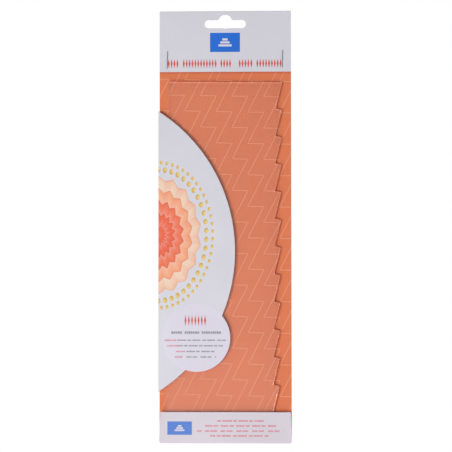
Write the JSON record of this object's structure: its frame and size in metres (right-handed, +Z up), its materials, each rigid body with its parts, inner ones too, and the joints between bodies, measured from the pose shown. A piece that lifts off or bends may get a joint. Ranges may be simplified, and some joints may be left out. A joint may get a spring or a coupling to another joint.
{
  "type": "icing smoother",
  "caption": "Tall clear acrylic icing smoother with a pleated edge, held in a folded hanging card with a curved side flap, a foot flap and stapled header.",
  "frame": {"origin": "centre of the hang slot's round top, on the card's back face", "axes": "+Z up along the card as it hangs, +X to the right seen from the front, the front faces -Y"},
  "size_m": [0.0942, 0.005, 0.3062],
  "materials": {
    "printed_back": "coated card printed orange with fine pale zigzag lines",
    "pale_card": "coated white card with a cool cast",
    "staple_wire": "plated flat wire",
    "clear_acrylic": "clear sheet with polished cut edges"
  },
  "bodies": {
    "carrier": {"back_panel": "printed_back", "header_fold": "pale_card", "header_panel": "pale_card", "left_staple": "staple_wire", "right_staple": "staple_wire"},
    "side_wall": {"side_spine": "pale_card"},
    "curved_flap": {"side_flap": "pale_card"},
    "foot_wall": {"foot_spine": "pale_card"},
    "low_flap": {"foot_flap": "pale_card"},
    "smoother": {"blade": "clear_acrylic"}
  },
  "joints": [
    {"name": "side_wall_crease", "type": "hinge", "parent": "carrier", "child": "side_wall", "pos_m": [-0.04735, 0, -0.1634], "axis": [0, 0, -1], "range_deg": [0, 90]},
    {"name": "side_flap_crease", "type": "hinge", "parent": "side_wall", "child": "curved_flap", "pos_m": [-0.04735, -0.0046, -0.1634], "axis": [0, 0, -1], "range_deg": [0, 90]},
    {"name": "foot_wall_crease", "type": "hinge", "parent": "carrier", "child": "foot_wall", "pos_m": [0, 0, -0.29857], "axis": [1, 0, 0], "range_deg": [0, 90]},
    {"name": "foot_flap_crease", "type": "hinge", "parent": "foot_wall", "child": "low_flap", "pos_m": [0, -0.0046, -0.29857], "axis": [1, 0, 0], "range_deg": [0, 90]},
    {"name": "blade_slide", "type": "slide", "parent": "carrier", "child": "smoother", "axis": [1, 0, 0], "range_m": [0, 0.09]}
  ]
}
